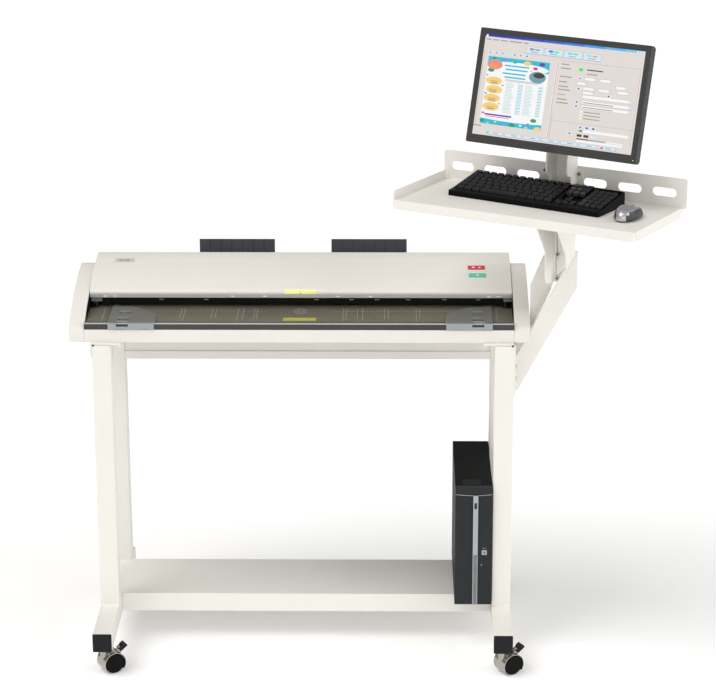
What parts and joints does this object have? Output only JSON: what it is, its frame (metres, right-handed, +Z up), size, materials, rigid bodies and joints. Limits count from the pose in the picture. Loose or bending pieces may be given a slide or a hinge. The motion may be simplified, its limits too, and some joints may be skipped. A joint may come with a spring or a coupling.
{
  "type": "wide format sheet scanner workstation",
  "caption": "Wide sheet-fed scanner with a hinged cover on a wheeled steel stand, with a shelf computer and a side arm holding a keyboard tray and a monitor.",
  "frame": {"origin": "on the floor, at mid-width and mid-depth of the stand's two side frames", "axes": "+X to the operator's right along the scanner, +Y away from the operator, +Z up"},
  "size_m": [1.6082, 0.853, 1.6925],
  "materials": {
    "powder_white": "light texture powder coat",
    "cover_white": "fine texture moulded cover",
    "black_cap": "matt",
    "zinc": "zinc plated",
    "chrome_hood": "bright",
    "wheel_black": "satin nylon",
    "table_dark": "satin dark anodised look",
    "nose_grey": "satin anodised",
    "glass": "clear",
    "head_black": "matt",
    "plate_steel": "bare",
    "bronze": "sintered bronze",
    "roller_rubber": "ground",
    "motor_dark": "satin",
    "pulley_alu": "machined",
    "belt_rubber": "matt",
    "board_green": "solder mask",
    "slate": "satin",
    "guide_grey": "satin",
    "red_button": "gloss",
    "green_button": "gloss",
    "bezel_black": "satin",
    "screen": "display",
    "key_black": "satin",
    "mouse_silver": "metallic paint",
    "pc_black": "satin",
    "button_silver": "metallic"
  },
  "bodies": {
    "frame": {"left_side_frame": "powder_white", "right_side_frame": "powder_white", "foot_end_caps": "black_cap", "rear_cross_rail": "powder_white", "lower_shelf": "powder_white", "top_brackets": "powder_white", "frame_bolts": "zinc", "caster_stems": "zinc", "base_pan": "plate_steel", "front_cover": "cover_white", "left_end_cap": "cover_white", "right_end_cap": "cover_white", "rear_cover": "cover_white", "paper_table": "table_dark", "nose_bar": "nose_grey", "scan_glass": "glass", "scan_head": "head_black", "side_plates": "plate_steel", "roller_bearings": "bronze", "drive_motor": "motor_dark", "drive_belt": "belt_rubber", "main_board": "board_green", "hinge_pins": "zinc", "arm_bracket": "powder_white", "mast": "powder_white", "keyboard_tray": "powder_white", "monitor_post": "powder_white", "keyboard_body": "key_black", "mouse": "mouse_silver", "pc_case": "pc_black", "pc_front": "pc_black"},
    "caster_fl": {"caster_hood_fl": "chrome_hood"},
    "wheels_fl": {"caster_wheels_fl": "wheel_black"},
    "brake_l": {"brake_lever_l": "black_cap"},
    "caster_fr": {"caster_hood_fr": "chrome_hood"},
    "wheels_fr": {"caster_wheels_fr": "wheel_black"},
    "brake_r": {"brake_lever_r": "black_cap"},
    "caster_rl": {"caster_hood_rl": "chrome_hood"},
    "wheels_rl": {"caster_wheels_rl": "wheel_black"},
    "caster_rr": {"caster_hood_rr": "chrome_hood"},
    "wheels_rr": {"caster_wheels_rr": "wheel_black"},
    "lid": {"top_cover": "cover_white", "pressure_frame": "head_black"},
    "front_roller": {"front_feed_roller": "roller_rubber"},
    "rear_roller": {"rear_feed_roller": "roller_rubber"},
    "motor_shaft": {"motor_pulley": "pulley_alu"},
    "front_pinch": {"front_pinch_roller": "roller_rubber"},
    "rear_pinch": {"rear_pinch_roller": "roller_rubber"},
    "start_key": {"start_button": "green_button"},
    "stop_key": {"stop_button": "red_button"},
    "guide_left": {"left_side_guide": "guide_grey"},
    "guide_right": {"right_side_guide": "guide_grey"},
    "return_left": {"left_return_guide": "slate"},
    "return_right": {"right_return_guide": "slate"},
    "monitor": {"tilt_head": "bezel_black", "monitor_back_cover": "bezel_black", "monitor_bezel": "bezel_black", "lcd_panel": "screen"},
    "keys": {"keyboard_keys": "key_black"},
    "power_key": {"pc_power_button": "button_silver"}
  },
  "joints": [
    {"name": "swivel_fl", "type": "hinge", "parent": "frame", "child": "caster_fl", "pos_m": [-0.5336, -0.27, 0.06], "axis": [0, 0, 1], "continuous": true},
    {"name": "roll_fl", "type": "hinge", "parent": "caster_fl", "child": "wheels_fl", "pos_m": [-0.51646, -0.2597, 0.0275], "axis": [-0.515, 0.8572, 0], "continuous": true},
    {"name": "brake_press_l", "type": "hinge", "parent": "caster_fl", "child": "brake_l", "pos_m": [-0.49503, -0.24682, 0.058], "axis": [-0.515, 0.8572, 0], "range_deg": [-3, 24]},
    {"name": "swivel_fr", "type": "hinge", "parent": "frame", "child": "caster_fr", "pos_m": [0.5336, -0.27, 0.06], "axis": [0, 0, 1], "continuous": true},
    {"name": "roll_fr", "type": "hinge", "parent": "caster_fr", "child": "wheels_fr", "pos_m": [0.55074, -0.2597, 0.0275], "axis": [-0.515, 0.8572, 0], "continuous": true},
    {"name": "brake_press_r", "type": "hinge", "parent": "caster_fr", "child": "brake_r", "pos_m": [0.57217, -0.24682, 0.058], "axis": [-0.515, 0.8572, 0], "range_deg": [-3, 24]},
    {"name": "swivel_rl", "type": "hinge", "parent": "frame", "child": "caster_rl", "pos_m": [-0.5336, 0.27, 0.06], "axis": [0, 0, 1], "continuous": true},
    {"name": "roll_rl", "type": "hinge", "parent": "caster_rl", "child": "wheels_rl", "pos_m": [-0.51646, 0.2803, 0.0275], "axis": [-0.515, 0.8572, 0], "continuous": true},
    {"name": "swivel_rr", "type": "hinge", "parent": "frame", "child": "caster_rr", "pos_m": [0.5336, 0.27, 0.06], "axis": [0, 0, 1], "continuous": true},
    {"name": "roll_rr", "type": "hinge", "parent": "caster_rr", "child": "wheels_rr", "pos_m": [0.51646, 0.2803, 0.0275], "axis": [-0.515, -0.8572, 0], "continuous": true},
    {"name": "lid_hinge", "type": "hinge", "parent": "frame", "child": "lid", "pos_m": [-0.01, 0.325, 0.955], "axis": [-1, 0, 0], "range_deg": [0, 60]},
    {"name": "feed_spin", "type": "hinge", "parent": "frame", "child": "front_roller", "pos_m": [-0.01, 0.088, 0.9195], "axis": [1, 0, 0], "continuous": true},
    {"name": "rear_feed_spin", "type": "hinge", "parent": "frame", "child": "rear_roller", "pos_m": [-0.01, 0.256, 0.9195], "axis": [1, 0, 0], "continuous": true},
    {"name": "motor_spin", "type": "hinge", "parent": "frame", "child": "motor_shaft", "pos_m": [0.55, 0.3, 0.899], "axis": [1, 0, 0], "continuous": true},
    {"name": "front_pinch_spin", "type": "hinge", "parent": "lid", "child": "front_pinch", "pos_m": [-0.01, 0.088, 0.9348], "axis": [1, 0, 0], "continuous": true},
    {"name": "rear_pinch_spin", "type": "hinge", "parent": "lid", "child": "rear_pinch", "pos_m": [-0.01, 0.256, 0.9348], "axis": [1, 0, 0], "continuous": true},
    {"name": "start_press", "type": "slide", "parent": "lid", "child": "start_key", "axis": [0, 0.2504, -0.9681], "range_m": [0, 0.002], "stiffness_N_per_m": 300},
    {"name": "stop_press", "type": "slide", "parent": "lid", "child": "stop_key", "axis": [0, 0.2504, -0.9681], "range_m": [0, 0.002], "stiffness_N_per_m": 300},
    {"name": "left_guide_slide", "type": "slide", "parent": "frame", "child": "guide_left", "axis": [1, 0, 0], "range_m": [-0.03, 0.33]},
    {"name": "right_guide_slide", "type": "slide", "parent": "frame", "child": "guide_right", "axis": [-1, 0, 0], "range_m": [-0.03, 0.33]},
    {"name": "left_return_fold", "type": "hinge", "parent": "frame", "child": "return_left", "pos_m": [-0.201, 0.374, 0.905], "axis": [-1, 0, 0], "range_deg": [0, 35]},
    {"name": "right_return_fold", "type": "hinge", "parent": "frame", "child": "return_right", "pos_m": [0.17, 0.374, 0.905], "axis": [-1, 0, 0], "range_deg": [0, 35]},
    {"name": "monitor_tilt", "type": "hinge", "parent": "frame", "child": "monitor", "pos_m": [0.68604, -0.06564, 1.545], "axis": [0.8695, -0.4939, 0], "range_deg": [-6, 10]},
    {"name": "key_press", "type": "slide", "parent": "frame", "child": "keys", "axis": [0, 0, -1], "range_m": [0, 0.0025], "stiffness_N_per_m": 600},
    {"name": "power_press", "type": "slide", "parent": "frame", "child": "power_key", "axis": [0, 1, 0], "range_m": [0, 0.0015], "stiffness_N_per_m": 300}
  ],
  "couplings": [
    {"joint": "rear_feed_spin", "follows": "feed_spin", "ratio": 1},
    {"joint": "motor_spin", "follows": "feed_spin", "ratio": 1},
    {"joint": "front_pinch_spin", "follows": "feed_spin", "ratio": -1.5},
    {"joint": "rear_pinch_spin", "follows": "feed_spin", "ratio": -1.5}
  ]
}
